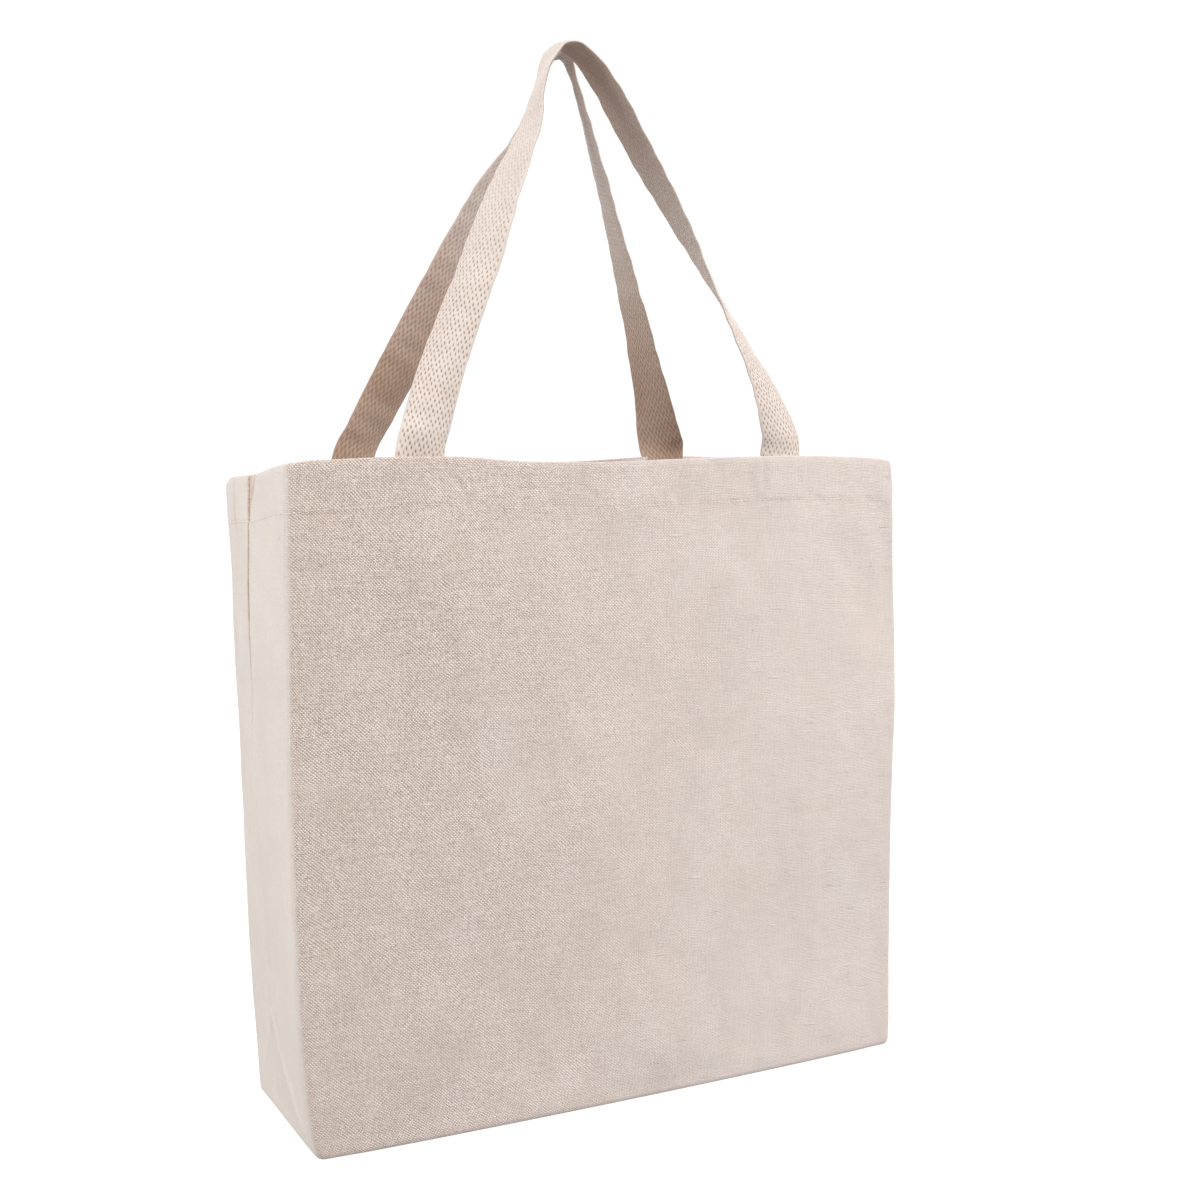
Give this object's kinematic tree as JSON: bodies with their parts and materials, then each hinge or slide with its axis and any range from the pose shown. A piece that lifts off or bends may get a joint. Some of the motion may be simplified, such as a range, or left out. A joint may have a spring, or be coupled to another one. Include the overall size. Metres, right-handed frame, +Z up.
{
  "type": "tote bag",
  "caption": "Open-topped boxed canvas tote bag with a turned hem, side seams down its gussets and webbing loop handles that stand up and flop outward.",
  "frame": {"origin": "middle of the base, on the surface the bag stands on", "axes": "+Z up, -Y out of the front face, +X to the right seen from the front"},
  "size_m": [0.381, 0.1233, 0.604],
  "materials": {
    "canvas": "plain-woven natural cotton canvas, undyed, with slubs and dark seed flecks",
    "webbing": "heavy woven cotton webbing, undyed, ribbed",
    "thread": "off-white sewing thread"
  },
  "bodies": {
    "bag": {"back_panel": "canvas", "bottom_panel": "canvas", "left_gusset_front": "canvas", "left_gusset_back": "canvas", "right_gusset_front": "canvas", "right_gusset_back": "canvas", "back_hem": "canvas", "left_gusset_hem": "canvas", "right_gusset_hem": "canvas", "left_seam_allowance": "canvas", "right_seam_allowance": "canvas", "left_seam_overcast": "thread", "right_seam_overcast": "thread", "back_hem_thread": "thread", "left_hem_thread": "thread", "right_hem_thread": "thread", "back_handle_tail_left": "webbing", "back_handle_tail_right": "webbing", "back_handle_stitch_left": "thread", "back_handle_stitch_right": "thread"},
    "front": {"front_panel": "canvas", "front_hem": "canvas", "front_hem_thread": "thread", "front_handle_tail_left": "webbing", "front_handle_tail_right": "webbing", "front_handle_stitch_left": "thread", "front_handle_stitch_right": "thread"},
    "front_foot": {"front_handle_foot_left": "webbing", "front_handle_foot_right": "webbing"},
    "front_loop": {"front_handle": "webbing"},
    "back_foot": {"back_handle_foot_left": "webbing", "back_handle_foot_right": "webbing"},
    "back_loop": {"back_handle": "webbing"}
  },
  "joints": [
    {"name": "fold_flat", "type": "slide", "parent": "bag", "child": "front", "axis": [0, 1, 0], "range_m": [0, 0.1], "deforming": ["left_gusset_front", "left_gusset_back", "right_gusset_front", "right_gusset_back", "bottom_panel", "left_gusset_hem", "right_gusset_hem", "left_seam_allowance", "right_seam_allowance", "left_seam_overcast", "right_seam_overcast", "left_hem_thread", "right_hem_thread"]},
    {"name": "front_handle_lean", "type": "hinge", "parent": "front", "child": "front_foot", "pos_m": [0, -0.0587, 0.3702], "axis": [1, 0, 0], "range_deg": [0, 20.2]},
    {"name": "front_handle_swing", "type": "hinge", "parent": "front_foot", "child": "front_loop", "pos_m": [0, -0.0575, 0.3847], "axis": [1, 0, 0], "range_deg": [0, 150]},
    {"name": "back_handle_lean", "type": "hinge", "parent": "bag", "child": "back_foot", "pos_m": [0, 0.0587, 0.3702], "axis": [-1, 0, 0], "range_deg": [0, 20.2]},
    {"name": "back_handle_swing", "type": "hinge", "parent": "back_foot", "child": "back_loop", "pos_m": [0, 0.0575, 0.3847], "axis": [-1, 0, 0], "range_deg": [0, 150]}
  ],
  "couplings": [
    {"joint": "front_handle_lean", "follows": "fold_flat", "rad_per_m": 3.4907},
    {"joint": "back_handle_lean", "follows": "fold_flat", "rad_per_m": 3.4907}
  ]
}
